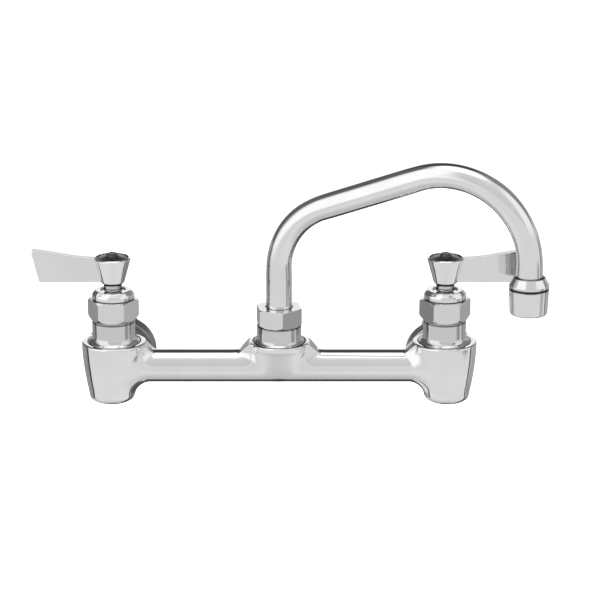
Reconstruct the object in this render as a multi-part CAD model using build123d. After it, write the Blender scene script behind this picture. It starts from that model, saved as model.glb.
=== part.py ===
from build123d import *
import math
import os

# Wall-mounted mixing faucet with two compression valves and a swing spout.
# Frame: origin on the wall, midway between the two inlets, at their height.
# +X runs from the hot (left) inlet to the cold (right) one, +Y goes into the wall, +Z is up.
# All lengths are in millimetres. Heights below are measured from the inlet axes.

# ---------------------------------------------------------------- driving dimensions
CENTRES = 203.2          # distance between the two inlets (8 in)
HALF = CENTRES / 2
WALL_GAP = 28.6          # valve axis to wall
AXIS_Y = -WALL_GAP

# casting
BAR_R = 10.2             # cross tube, outside
BAR_BORE_R = 6.5
CAST_TOP = 16.0          # top faces of the three bosses
VALVE_FOOT = -22.0       # underside of the valve bodies
VALVE_TOP_R = 19.3
BOSS_TOP_R = 17.7
RECESS_R = 16.4          # round recess in each boss top
RECESS_Z = 14.4
THREAD_R = 12.0          # bonnet and adapter threads in the casting
THREAD_FLOOR = 4.5
NECK_R = 14.0            # inlet neck at the back of each valve body
NECK_END = -3.0

# inlets
SHANK_R = 10.48          # 1/2 in straight pipe thread, outside
SHANK_BORE_R = 7.5
SHANK_INNER_END = -10.4
SHANK_OUTER_END = 50.0
PANEL = 14.0             # room for the wall panel between flange and washer
FLANGE_R = 21.6
FLANGE_DEPTH = 8.0
FLANGE_BORE_R = 13.9     # wide enough for the loose flange to sit off centre on the nipple
FLANGE_AT_HOT = (-98.8, 1.5)     # where each loose flange sits, X and Z of its centre
FLANGE_AT_COLD = (100.2, -1.2)

# bonnet, nut and gland
BONNET_R = 13.2
BONNET_FOOT_R = 15.9
BONNET_FOOT_TOP = 16.15
BONNET_TOP = 30.1
BONNET_THREAD_R = 12.2
BONNET_END = 38.0
NUT_AF = 27.4            # across flats
NUT_LOW, NUT_HIGH = 30.1, 43.5
NUT_TURN_HOT = -2.6      # degrees the hexagons are turned from square
NUT_TURN_COLD = 2.6
GLAND_R = 12.9
GLAND_TOP = 49.0

# stem, seat and disc
STEM_THREAD_R = 7.0
STEM_R = 4.6
STEM_LAND_R = 5.9
SEAT_R = 6.3
SEAT_BORE_R = 4.0
SEAT_LIP = -5.6
RUN = 0.05               # radial running clearance

# handle
HUB_RIM_R = 11.3
HUB_RIM_Z = 69.6
HUB_FOOT_R = 7.3
HUB_FOOT_Z = 54.0
HUB_END = 49.1           # lower end of the hub, just above the gland
HUB_NECK_R = 5.5
CAP_R = 9.65
LEVER_T = 4.4            # paddle thickness

# spout
SPOUT_AZIMUTH = -17.0    # degrees from +X, swung towards the front
SPOUT_REACH = 155.2
TUBE_R = 7.94            # 5/8 in tube
TUBE_BORE_R = 6.9
BEND_1_R = 43.5
BEND_2_R = 51.0
CORNER_1_Z = 92.6        # where the straight runs meet, if they were not bent
SLOPE = 20.84            # degrees, long straight run above level
TUBE_START_Z = 26.0
TUBE_END_Z = 61.0
SPOUT_NUT_AF = 26.0
SPOUT_NUT_LOW, SPOUT_NUT_HIGH = 26.5, 37.9
SPOUT_NUT_TURN = -21.5
ADAPTER_R = 13.7
AERATOR_R = 11.9
LEAN = 2.6               # degrees that the lower ends of the valve bodies stand outwards

PARTS = {}


# ---------------------------------------------------------------- helpers
def outline(points):
    """Closed face in the radius-height plane (X, Z). A third number on a point rounds that corner."""
    pts = [(p[0], p[1], p[2] if len(p) > 2 else 0.0) for p in points]
    n = len(pts)
    edges = []
    last = None
    first = None
    for i in range(n):
        x, z, rad = pts[i]
        if rad > 0:
            ax, az, _ = pts[i - 1]
            bx, bz, _ = pts[(i + 1) % n]
            ua = (ax - x, az - z)
            ub = (bx - x, bz - z)
            la, lb = math.hypot(*ua), math.hypot(*ub)
            ua = (ua[0] / la, ua[1] / la)
            ub = (ub[0] / lb, ub[1] / lb)
            half = 0.5 * math.acos(max(-1.0, min(1.0, ua[0] * ub[0] + ua[1] * ub[1])))
            t = rad / math.tan(half)
            a = (x + ua[0] * t, z + ua[1] * t)
            b = (x + ub[0] * t, z + ub[1] * t)
            mx, mz = ua[0] + ub[0], ua[1] + ub[1]
            ml = math.hypot(mx, mz)
            c = (x + mx / ml * rad / math.sin(half), z + mz / ml * rad / math.sin(half))
            m = (c[0] - mx / ml * rad, c[1] - mz / ml * rad)
            arc = ThreePointArc((a[0], 0, a[1]), (m[0], 0, m[1]), (b[0], 0, b[1]))
        else:
            a = b = (x, z)
            arc = None
        if last is not None and math.dist(last, a) > 1e-6:
            edges.append(Line((last[0], 0, last[1]), (a[0], 0, a[1])))
        if arc is not None:
            edges.append(arc)
        last = b
        if first is None:
            first = a
    if math.dist(last, first) > 1e-6:
        edges.append(Line((last[0], 0, last[1]), (first[0], 0, first[1])))
    return Face(Wire(edges))


def turned(points, axis=Axis.Z):
    return revolve(outline(points), axis, 360)


def turned_y(points):
    """A turned piece about +Y: each point is (radius, y)."""
    return Rot(-90, 0, 0) * turned(points)


def drum(r, low, high):
    return Pos(0, 0, (low + high) / 2) * Cylinder(r, high - low)


def drum_y(r, low, high):
    return Pos(0, (low + high) / 2, 0) * Rot(90, 0, 0) * Cylinder(r, high - low)


def drum_x(r, low, high):
    return Pos((low + high) / 2, 0, 0) * Rot(0, 90, 0) * Cylinder(r, high - low)


def hex_nut(af, low, high, turn, chamfer_low, chamfer_high, face_low, face_high):
    """Hexagonal bar with the corners of both ends turned down to a round face."""
    corner = af / 2 / math.cos(math.pi / 6)
    bar = Pos(0, 0, low) * Rot(0, 0, turn) * extrude(RegularPolygon(af / 2, 6, major_radius=False), high - low)
    form = turned([
        (0, low), (face_low, low), (corner, low + chamfer_low),
        (corner, high - chamfer_high), (face_high, high), (0, high),
    ])
    return bar & form


def one(shape):
    """The single solid of a shape."""
    solids = shape.solids()
    assert len(solids) == 1, len(solids)
    return solids[0]


def put(name, shape):
    PARTS[name] = shape


# ---------------------------------------------------------------- casting
def valve_casting(side):
    """Tapered valve body, solid, leaning a little so that its lower end stands outwards."""
    body = turned([
        (0, VALVE_FOOT), (14.6, VALVE_FOOT, 3.9), (16.3, -9.0, 60), (18.2, 1.0, 60),
        (19.3, 9.0, 40), (VALVE_TOP_R + 0.2, CAST_TOP + 3), (0, CAST_TOP + 3),
    ])
    body = Pos(0, 0, CAST_TOP) * Rot(0, -side * LEAN, 0) * Pos(0, 0, -CAST_TOP) * body
    body = body & turned([(0, -30), (30, -30), (30, 6.0), (VALVE_TOP_R + 0.4, 14.9), (VALVE_TOP_R - 0.7, CAST_TOP), (0, CAST_TOP)])
    # shoulder that runs from the boss top down to the cross tube
    cone = turned([(0, 0), (27.0, 0), (27.0, 6.6), (17.4, CAST_TOP), (0, CAST_TOP)])
    saddle = cone & (Pos(-side * 20, 0, 10) * Box(40, 13.0, 24))
    neck = drum_y(NECK_R, 0, WALL_GAP + NECK_END)
    return body + saddle + neck


def valve_cavity():
    c = drum(RECESS_R, RECESS_Z, CAST_TOP + 1)
    c = c + drum(THREAD_R, THREAD_FLOOR, RECESS_Z + 1)
    c = c + drum(9.5, 1.0, THREAD_FLOOR + 1)
    c = c + drum(8.2, -7.0, 2.0)
    c = c + drum(SEAT_R + RUN, -14.0, -6.0)
    c = c + drum(5.5, -18.0, -13.0)
    c = c + drum_y(SHANK_R + RUN, WALL_GAP + SHANK_INNER_END - 0.2, WALL_GAP + NECK_END + 1)
    # sloping passage from the inlet down to the chamber under the seat
    a, b = Vector(0, 20, -4.0), Vector(0, 2.5, -16.4)
    d = b - a
    tilt = math.degrees(math.atan2(d.Y, -d.Z))
    c = c + Pos((a + b) * 0.5) * Rot(tilt, 0, 0) * Cylinder(3.0, d.length)
    return c


def centre_casting():
    boss = turned([
        (0, -9.8), (6.0, -9.8, 2.4), (11.4, -4.0, 4), (13.2, 0.0, 12), (BOSS_TOP_R, 13.4, 3), (BOSS_TOP_R, CAST_TOP, 0.8), (0, CAST_TOP),
    ])
    cone = turned([(0, 0), (26.6, 0), (26.6, 7.6), (BOSS_TOP_R, CAST_TOP), (0, CAST_TOP)])
    saddle = cone & (Pos(0, 0, 10) * Box(60, 13.0, 24))
    return boss + saddle


def centre_cavity():
    c = drum(RECESS_R, RECESS_Z, CAST_TOP + 1)
    c = c + drum(THREAD_R, THREAD_FLOOR, RECESS_Z + 1)
    c = c + drum(7.5, 0, THREAD_FLOOR + 1)
    return c


def make_casting():
    solid = drum_x(BAR_R, -HALF, HALF)
    solid = solid + centre_casting()
    for side in (-1, 1):
        solid = solid + Pos(side * HALF, 0, 0) * valve_casting(side)
    hollow = drum_x(BAR_BORE_R, -HALF, HALF) + centre_cavity()
    for side in (-1, 1):
        hollow = hollow + Pos(side * HALF, 0, 0) * valve_cavity()
    return Pos(0, AXIS_Y, 0) * (solid - hollow)


# ---------------------------------------------------------------- valve pieces, on the valve axis
def valve_seat():
    return turned([
        (SEAT_BORE_R, -13.5, 0.3), (SEAT_R, -13.5, 0.4), (SEAT_R, -7.0), (5.2, -7.0), (5.2, SEAT_LIP, 0.25),
        (4.4, SEAT_LIP, 0.25), (SEAT_BORE_R, -6.4),
    ])


def seat_washer():
    return turned([(1.6, SEAT_LIP), (5.9, SEAT_LIP, 0.4), (5.9, -2.6), (1.6, -2.6)])


def seat_washer_screw():
    screw = turned([(0, -7.0), (2.7, -7.0, 0.5), (2.7, SEAT_LIP), (1.55, SEAT_LIP), (1.55, 1.4, 0.3), (0, 1.4)])
    slot = Pos(0, 0, -7.0) * Box(6, 0.8, 1.2)
    return screw - slot


def disc_holder():
    return turned([
        (0, 1.5), (1.6, 1.5), (1.6, -2.6), (5.95, -2.6), (5.95, -4.4), (7.2, -4.4, 0.3), (7.2, 0.6, 0.8),
        (5.4, 2.4, 0.5), (3.5, 2.4), (3.5, 7.0, 0.4), (0, 7.0),
    ])


def stem():
    body = turned([
        (0, 7.4), (3.5 + RUN, 7.4), (3.5 + RUN, 2.6), (6.4, 2.6, 0.3), (STEM_THREAD_R, 3.4), (STEM_THREAD_R, 13.4),
        (6.4, 14.0), (STEM_R, 14.0, 0.5), (STEM_R, 24.0), (STEM_LAND_R, 24.0, 0.3), (STEM_LAND_R, 26.5),
        (4.4, 26.5), (4.4, 28.5), (STEM_LAND_R, 28.5), (STEM_LAND_R, 31.0, 0.3), (STEM_R, 31.0), (STEM_R, 47.6),
        (4.0, 48.0), (4.0, 60.0, 0.3), (2.02, 60.0), (2.02, 52.0), (0, 51.0),
    ])
    # shallow thread form on the lower, threaded length
    for k in range(6):
        z = 4.6 + 1.6 * k
        body = body - turned([(6.55, z + 0.1), (7.3, z - 0.35), (7.3, z + 0.65), (6.55, z + 0.2)])
    # splines that key the handle
    for k in range(16):
        body = body - Rot(0, 0, 22.5 * k) * Pos(4.15, 0, 54.5) * Rot(0, 0, 45) * Box(0.5, 0.5, 11.0)
    return body


def stem_o_ring():
    return turned([(4.42, 26.6, 0.7), (5.95, 26.6, 0.7), (5.95, 28.4, 0.7), (4.42, 28.4, 0.7)])


def bonnet():
    body = turned([
        (STEM_THREAD_R + RUN, 5.0), (THREAD_R - RUN - 0.6, 5.0), (THREAD_R - RUN, 5.6), (THREAD_R - RUN, RECESS_Z + 0.5),
        (BONNET_FOOT_R, RECESS_Z + 0.5, 0.2), (BONNET_FOOT_R, BONNET_FOOT_TOP, 0.3),
        (BONNET_R, 18.0, 4.0), (BONNET_R, 28.0), (BONNET_R - 0.45, 28.4), (BONNET_R, 28.8),
        (BONNET_R, BONNET_TOP, 0.25), (BONNET_THREAD_R, BONNET_TOP), (BONNET_THREAD_R, 37.4), (11.6, BONNET_END),
        (8.0, BONNET_END), (8.0, 33.8), (6.0, 33.8), (6.0, 20.0), (STEM_THREAD_R + RUN, 19.0),
    ])
    for k in range(6):
        z = 6.6 + 1.25 * k
        body = body - turned([(11.5, z + 0.1), (12.3, z - 0.3), (12.3, z + 0.5), (11.5, z + 0.2)])
    return body


def bonnet_gasket():
    return turned([(12.1, RECESS_Z), (BONNET_FOOT_R - 0.1, RECESS_Z), (BONNET_FOOT_R - 0.1, RECESS_Z + 0.5),
                   (12.1, RECESS_Z + 0.5)])


def bonnet_nut(turn):
    nut = hex_nut(NUT_AF, NUT_LOW, NUT_HIGH, turn, 2.9, 1.1, 13.3, 13.7)
    nut = nut - drum(BONNET_THREAD_R + RUN, NUT_LOW - 1, 38.4)
    return nut - drum(9.0, 38.0, NUT_HIGH + 1)


def stem_gland():
    return turned([
        (STEM_R + 0.1, 37.8), (7.9, 37.8, 0.2), (7.9, 38.6), (8.95, 38.6), (8.95, NUT_HIGH), (GLAND_R - 0.4, NUT_HIGH),
        (GLAND_R - 0.4, 43.9), (GLAND_R, 44.15, 0.1), (GLAND_R, 46.5, 2.3), (10.7, GLAND_TOP, 1.5), (7.9, GLAND_TOP, 0.35),
        (7.2, 48.0, 0.25), (5.6, 48.0), (5.6, 47.6), (STEM_R + 0.1, 47.2),
    ])


def stem_packing():
    return turned([(STEM_R + 0.1, 33.8), (7.95, 33.8), (7.95, 37.8), (STEM_R + 0.1, 37.8)])


# ---------------------------------------------------------------- handle, on the valve axis, lever towards -X
def lever_handle():
    hub = turned([
        (0, HUB_END), (5.7, HUB_END, 0.15), (5.95, 49.3, 0.2), (5.95, 49.9, 0.25),
        (HUB_NECK_R, 50.2, 0.15), (HUB_NECK_R, 51.9, 0.7), (HUB_FOOT_R, HUB_FOOT_Z, 0.9),
        (HUB_RIM_R - 0.1, 68.2, 0.3), (HUB_RIM_R, 68.7, 0.2), (10.1, HUB_RIM_Z, 0.3), (0, HUB_RIM_Z),
    ])
    side_view = outline([
        (0, 54.1), (-44.7, 54.1, 1.0), (-49.9, 75.3, 2.4), (-22.0, 70.5, 40), (-12.0, 69.5, 30), (0, 69.5),
    ])
    lever = Pos(0, LEVER_T / 2, 0) * extrude(side_view, LEVER_T, dir=(0, -1, 0))
    rim = [e for e in lever.edges() if e.bounding_box().size.Y < 0.01 and e.bounding_box().min.X < -0.5]
    lever = fillet(rim, 0.9)
    body = hub + lever
    body = body - turned([(0, 66.0), (CAP_R + 0.05, 66.0), (CAP_R + 0.05, 69.3), (CAP_R + 0.4, 70.5), (0, 70.5)])
    body = body - drum(6.0, 62.5, 66.5)
    body = body - drum(2.2, 59.0, 63.0)
    body = body - drum(4.02, 47.0, 60.1)
    return body


def handle_screw():
    screw = turned([(0, 53.0), (1.7, 53.0), (2.0, 53.4), (2.0, 62.5), (3.8, 62.5, 0.2), (3.8, 64.3, 0.8), (2.4, 65.1, 0.5), (0, 65.2)])
    cross = Pos(0, 0, 64.8) * (Box(3.6, 0.8, 1.6) + Box(0.8, 3.6, 1.6))
    return screw - cross


def index_cap():
    cap = turned([
        (0, 66.1), (CAP_R - 0.1, 66.1), (CAP_R, 66.4), (CAP_R, 68.8, 0.25), (9.0, 69.0, 0.3), (3.6, 70.5, 0.8),
        (3.1, 71.6, 0.3), (2.4, 72.2, 0.3), (1.5, 72.0, 0.2), (0, 71.9),
    ])
    return cap - drum(4.4, 66.0, 68.2)


# ---------------------------------------------------------------- inlets, on the inlet axis
def wall_flange():
    return turned_y([
        (FLANGE_BORE_R, -1.2), (19.4, -1.2), (19.4, 0), (FLANGE_R - 0.4, 0), (FLANGE_R, -1.0, 0.5),
        (19.9, -FLANGE_DEPTH, 1.0), (NECK_R + 3.5, -FLANGE_DEPTH, 0.4), (NECK_R + 3.5, NECK_END), (FLANGE_BORE_R, NECK_END),
    ])


def flange_gasket():
    return turned_y([(FLANGE_BORE_R + 0.2, -1.2), (19.3, -1.2), (19.3, 0), (FLANGE_BORE_R + 0.2, 0)])


def inlet_shank():
    return turned_y([
        (SHANK_BORE_R, SHANK_INNER_END), (SHANK_R, SHANK_INNER_END), (SHANK_R, 24.8), (9.9, 25.3), (9.9, 26.0),
        (SHANK_R, 26.5), (SHANK_R, SHANK_OUTER_END - 0.6), (SHANK_R - 0.6, SHANK_OUTER_END), (SHANK_BORE_R, SHANK_OUTER_END),
    ])


def shank_washer():
    return turned_y([(SHANK_R + 0.2, PANEL), (16.0, PANEL, 0.4), (16.0, PANEL + 2, 0.4), (SHANK_R + 0.2, PANEL + 2)])


def shank_locknut():
    nut = hex_nut(27.0, 0, 7.0, 0, 1.2, 1.2, 13.0, 13.0)
    nut = nut - drum(SHANK_R + RUN, -1, 8)
    return Pos(0, PANEL + 2, 0) * Rot(-90, 0, 0) * nut


# ---------------------------------------------------------------- centre pieces, on the centre axis
def spout_adapter():
    body = turned([
        (7.2, 5.0), (THREAD_R - RUN - 0.6, 5.0), (THREAD_R - RUN, 5.6), (THREAD_R - RUN, RECESS_Z + 0.5),
        (BONNET_FOOT_R - 0.4, RECESS_Z + 0.5, 0.2), (BONNET_FOOT_R - 0.4, BONNET_FOOT_TOP, 0.3),
        (ADAPTER_R, 17.5, 2.4), (ADAPTER_R, SPOUT_NUT_LOW, 0.25), (11.2, SPOUT_NUT_LOW), (11.2, 32.4),
        (10.7, 33.0), (9.25 + RUN, 33.0), (9.25 + RUN, 12.0), (7.2, 12.0),
    ])
    for k in range(6):
        z = 6.6 + 1.25 * k
        body = body - turned([(11.5, z + 0.1), (12.3, z - 0.3), (12.3, z + 0.5), (11.5, z + 0.2)])
    return body


def spout_nut():
    nut = hex_nut(SPOUT_NUT_AF, SPOUT_NUT_LOW, SPOUT_NUT_HIGH, SPOUT_NUT_TURN, 1.9, 0.5, 13.2, 14.2)
    nut = nut - drum(11.2 + RUN, SPOUT_NUT_LOW - 1, 35.3)
    return nut - turned([(0, 34), (8.7, 34), (8.7, 37.6), (9.0, 38.0), (0, 38.0)])


def spout_ferrule():
    return turned([
        (TUBE_BORE_R, 12.3), (8.7, 12.3), (9.25, 12.9), (9.25, 16.0), (7.75, 16.0), (7.75, 18.2), (9.25, 18.2),
        (9.25, 22.0), (7.75, 22.0), (7.75, 24.2), (9.25, 24.2), (9.25, 33.1), (10.4, 33.1), (10.4, 34.3, 0.3),
        (8.45, 34.3), (8.4, 36.8), (8.2, 37.2), (TUBE_R + 0.02, 37.2), (TUBE_R + 0.02, TUBE_START_Z),
        (TUBE_BORE_R, TUBE_START_Z),
    ])


def ferrule_o_rings():
    rings = [turned([(7.77, z + 0.1, 0.7), (9.27, z + 0.1, 0.7), (9.27, z + 2.1, 0.7), (7.77, z + 2.1, 0.7)])
             for z in (16.0, 22.0)]
    return Compound(children=[one(r) for r in rings])


def spout_retaining_ring():
    ring = turned([(8.55, 34.35), (10.8, 34.35, 0.2), (10.8, 35.15, 0.2), (8.55, 35.15)])
    return ring - Pos(-9.7, 0, 34.8) * Box(3.5, 1.6, 2)


def spout_route():
    """Points where the tube's straight runs begin and end, in its own plane (distance out, height)."""
    turn1 = 90.0 - SLOPE
    t1 = BEND_1_R * math.tan(math.radians(turn1 / 2))
    corner2_z = CORNER_1_Z + SPOUT_REACH * math.tan(math.radians(SLOPE))
    turn2 = 90.0 + SLOPE
    t2 = BEND_2_R * math.tan(math.radians(turn2 / 2))
    c, s = math.cos(math.radians(SLOPE)), math.sin(math.radians(SLOPE))
    a = (0, CORNER_1_Z - t1)
    b = (t1 * c, CORNER_1_Z + t1 * s)
    d = (SPOUT_REACH - t2 * c, corner2_z - t2 * s)
    e = (SPOUT_REACH, corner2_z - t2)
    return a, b, d, e


def spout_tube():
    a, b, d, e = spout_route()
    s = math.radians(SLOPE)
    c1 = (BEND_1_R, a[1])
    m1 = math.radians(180 - (90 - SLOPE) / 2)
    p1 = (c1[0] + BEND_1_R * math.cos(m1), c1[1] + BEND_1_R * math.sin(m1))
    c2 = (SPOUT_REACH - BEND_2_R, e[1])
    m2 = math.radians((90 + SLOPE) / 2)
    p2 = (c2[0] + BEND_2_R * math.cos(m2), c2[1] + BEND_2_R * math.sin(m2))
    v = lambda p: (p[0], 0, p[1])
    path = Wire([
        Line((0, 0, TUBE_START_Z), v(a)), ThreePointArc(v(a), v(p1), v(b)), Line(v(b), v(d)),
        ThreePointArc(v(d), v(p2), v(e)), Line(v(e), (SPOUT_REACH, 0, TUBE_END_Z)),
    ])
    start = Plane(origin=(0, 0, TUBE_START_Z), z_dir=(0, 0, 1))
    wall = sweep(start * (Circle(TUBE_R) - Circle(TUBE_BORE_R)), path)
    print("spout tube: bends", BEND_1_R, BEND_2_R, "length", round(path.length, 1),
          "volume ratio", round(wall.volume / (math.pi * (TUBE_R ** 2 - TUBE_BORE_R ** 2) * path.length), 4))
    return wall


def aerator_collar():
    return turned([
        (TUBE_BORE_R, 57.0), (10.2, 57.0), (10.6, 57.4), (10.6, 64.2), (11.8, 64.2, 0.25), (11.95, 66.4, 0.6),
        (9.35, 70.9, 0.4), (8.5, 71.3, 0.2), (TUBE_R + 0.02, 71.3), (TUBE_R + 0.02, TUBE_END_Z), (TUBE_BORE_R, TUBE_END_Z),
    ])


def aerator_washer():
    return turned([(7.2, 55.2), (10.4, 55.2, 0.2), (10.4, 57.0, 0.2), (7.2, 57.0)])


def aerator_housing():
    return turned([
        (8.5, 48.2), (10.7, 48.2, 0.4), (11.3, 49.1, 0.4), (AERATOR_R, 63.2, 0.2), (11.6, 63.7, 0.1), (10.65, 63.7),
        (10.65, 49.6), (8.5, 49.6),
    ])


def aerator_insert():
    body = turned([
        (7.6, 50.1), (9.3, 50.1), (9.3, 49.6), (10.3, 49.6), (10.3, 55.2), (0, 55.2), (0, 53.9), (7.6, 53.9),
    ])
    for k in range(12):
        body = body - Rot(0, 0, 30 * k) * Pos(5.6, 0, 54.5) * Cylinder(0.9, 3)
    for k in range(6):
        body = body - Rot(0, 0, 60 * k) * Pos(2.6, 0, 54.5) * Cylinder(0.8, 3)
    return body


def aerator_screen():
    disc = drum(7.55, 50.5, 51.1)
    step = 1.75
    for i in range(-4, 5):
        for j in range(-4, 5):
            if math.hypot(i * step, j * step) < 6.3:
                disc = disc - Pos(i * step, j * step, 50.8) * Box(1.25, 1.25, 2)
    return disc


# ---------------------------------------------------------------- assembly
put("faucet_body", make_casting())

seat_p, washer_p, wscrew_p, disc_p, stem_p = valve_seat(), seat_washer(), seat_washer_screw(), disc_holder(), stem()
oring_p, bonnet_p, gasket_p, gland_p, packing_p = stem_o_ring(), bonnet(), bonnet_gasket(), stem_gland(), stem_packing()
handle_p, hscrew_p, cap_p = lever_handle(), handle_screw(), index_cap()
flange_p, fgasket_p, shank_p, swasher_p, slock_p = (
    wall_flange(), flange_gasket(), inlet_shank(), shank_washer(), shank_locknut())

for word, side, turn in (("hot", -1, NUT_TURN_HOT), ("cold", 1, NUT_TURN_COLD)):
    at = Pos(side * HALF, AXIS_Y, 0)
    face = Rot(0, 0, 0) if side < 0 else Rot(0, 0, 180)
    put(word + "_valve_seat", at * seat_p)
    put(word + "_seat_washer", at * washer_p)
    put(word + "_seat_washer_screw", at * wscrew_p)
    put(word + "_disc_holder", at * disc_p)
    put(word + "_stem", at * stem_p)
    put(word + "_stem_o_ring", at * oring_p)
    put(word + "_bonnet", at * bonnet_p)
    put(word + "_bonnet_gasket", at * gasket_p)
    put(word + "_bonnet_nut", at * bonnet_nut(turn))
    put(word + "_stem_gland", at * gland_p)
    put(word + "_stem_packing", at * packing_p)
    put(word + "_lever_handle", at * face * handle_p)
    put(word + "_handle_screw", at * hscrew_p)
    put(word + "_index_cap", at * cap_p)
    loose = FLANGE_AT_HOT if side < 0 else FLANGE_AT_COLD
    put(word + "_wall_flange", Pos(loose[0], 0, loose[1]) * flange_p)
    put(word + "_flange_gasket", Pos(loose[0], 0, loose[1]) * fgasket_p)
    wall = Pos(side * HALF, 0, 0)
    put(word + "_inlet_shank", wall * shank_p)
    put(word + "_shank_washer", wall * swasher_p)
    put(word + "_shank_locknut", wall * slock_p)

centre = Pos(0, AXIS_Y, 0)
put("spout_adapter", centre * spout_adapter())
put("adapter_gasket", centre * bonnet_gasket())
put("spout_nut", centre * spout_nut())

swing = centre * Rot(0, 0, SPOUT_AZIMUTH)
outlet = swing * Pos(SPOUT_REACH, 0, 0)
put("spout_ferrule", swing * spout_ferrule())
put("ferrule_o_rings", swing * ferrule_o_rings())
put("spout_retaining_ring", swing * spout_retaining_ring())
put("spout_tube", swing * spout_tube())
put("aerator_collar", outlet * aerator_collar())
put("aerator_washer", outlet * aerator_washer())
put("aerator_housing", outlet * aerator_housing())
put("aerator_insert", outlet * aerator_insert())
put("aerator_screen", outlet * aerator_screen())

os.makedirs("parts", exist_ok=True)
for name, shape in PARTS.items():
    export_step(shape, "parts/" + name + ".step")
print(len(PARTS), "nodes written")
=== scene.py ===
import math

import bpy
import numpy as np
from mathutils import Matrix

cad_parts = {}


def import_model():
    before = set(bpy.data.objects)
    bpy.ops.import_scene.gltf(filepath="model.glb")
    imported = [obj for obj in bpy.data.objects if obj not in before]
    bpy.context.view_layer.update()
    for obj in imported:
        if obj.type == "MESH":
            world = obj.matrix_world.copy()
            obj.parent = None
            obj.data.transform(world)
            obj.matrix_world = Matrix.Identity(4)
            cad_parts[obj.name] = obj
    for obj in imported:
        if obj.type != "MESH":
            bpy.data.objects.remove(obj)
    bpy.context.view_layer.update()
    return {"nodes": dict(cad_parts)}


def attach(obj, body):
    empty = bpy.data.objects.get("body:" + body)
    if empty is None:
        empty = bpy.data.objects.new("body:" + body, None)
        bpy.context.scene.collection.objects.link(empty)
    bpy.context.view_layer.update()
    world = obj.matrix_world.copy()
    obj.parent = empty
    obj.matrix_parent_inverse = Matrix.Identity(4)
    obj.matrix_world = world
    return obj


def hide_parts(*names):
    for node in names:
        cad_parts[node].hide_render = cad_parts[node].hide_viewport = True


# Wall-mounted mixing faucet. Shapes below are given in millimetres and turned into metres when a mesh is made.
# Valve axes at x = -101.6 and 101.6, centre axis at x = 0, all 28.6 mm in front of the wall (y = 0).

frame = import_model()

MM = 0.001
HALF = 101.6
AXIS_Y = -28.6
AZIMUTH = math.radians(-17.0)
REACH = 155.2


# ------------------------------------------------------------------------------------------------ mesh helpers
def add_mesh(name, verts, faces, normals=None, loop_normals=None):
    """A mesh object from points in millimetres, with exact shading normals, one per point or one per face corner."""
    mesh = bpy.data.meshes.new(name)
    mesh.from_pydata((np.asarray(verts, float) * MM).tolist(), [], [tuple(int(i) for i in f) for f in faces])
    mesh.validate(verbose=False)
    mesh.polygons.foreach_set("use_smooth", [True] * len(mesh.polygons))
    mesh.update()
    if loop_normals is not None and len(loop_normals) == len(mesh.loops):
        mesh.normals_split_custom_set([tuple(n) for n in loop_normals])
    elif normals is not None and len(normals) == len(mesh.vertices):
        mesh.normals_split_custom_set_from_vertices([tuple(n) for n in normals])
    obj = bpy.data.objects.new(name, mesh)
    bpy.context.scene.collection.objects.link(obj)
    return obj


def corner_arcs(points, closed=True, fixed=None):
    """Outline of (r, z, fillet) corners turned into points, each with the normals of the stretch before and after it.

    Returns points (n, 2), normal on arrival (n, 2) and normal on leaving (n, 2), for an outline that runs with its
    material on the left, so that the normals point to the right of the way it runs."""
    pts = [(p[0], p[1], p[2] if len(p) > 2 else 0.0) for p in points]
    n = len(pts)
    area = sum(pts[i][0] * pts[(i + 1) % n][1] - pts[(i + 1) % n][0] * pts[i][1] for i in range(n))
    if area < 0:
        pts = pts[::-1]
    out, arrive, leave = [], [], []
    for i in range(n):
        x, z, rad = pts[i]
        ax, az, _ = pts[i - 1]
        bx, bz, _ = pts[(i + 1) % n]
        ua = np.array([x - ax, z - az], float)
        ub = np.array([bx - x, bz - z], float)
        la, lb = np.linalg.norm(ua), np.linalg.norm(ub)
        ua, ub = ua / la, ub / lb
        na, nb = np.array([ua[1], -ua[0]]), np.array([ub[1], -ub[0]])
        turn = math.atan2(ua[0] * ub[1] - ua[1] * ub[0], float(ua @ ub))
        if rad > 0 and abs(turn) > 1e-3:
            t = rad * math.tan(abs(turn) / 2)
            start = np.array([x, z]) - ua * t
            centre = start - na * rad * (1 if turn > 0 else -1)
            steps = fixed or max(2, int(math.ceil(abs(turn) / math.radians(9.0))))
            for k in range(steps + 1):
                a = turn * k / steps
                c, s = math.cos(a), math.sin(a)
                nn = np.array([na[0] * c - na[1] * s, na[0] * s + na[1] * c])
                out.append(centre + nn * rad * (1 if turn > 0 else -1))
                arrive.append(nn)
                leave.append(nn)
        else:
            out.append(np.array([x, z]))
            arrive.append(na)
            leave.append(nb)
    return np.array(out), np.array(arrive), np.array(leave)


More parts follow.
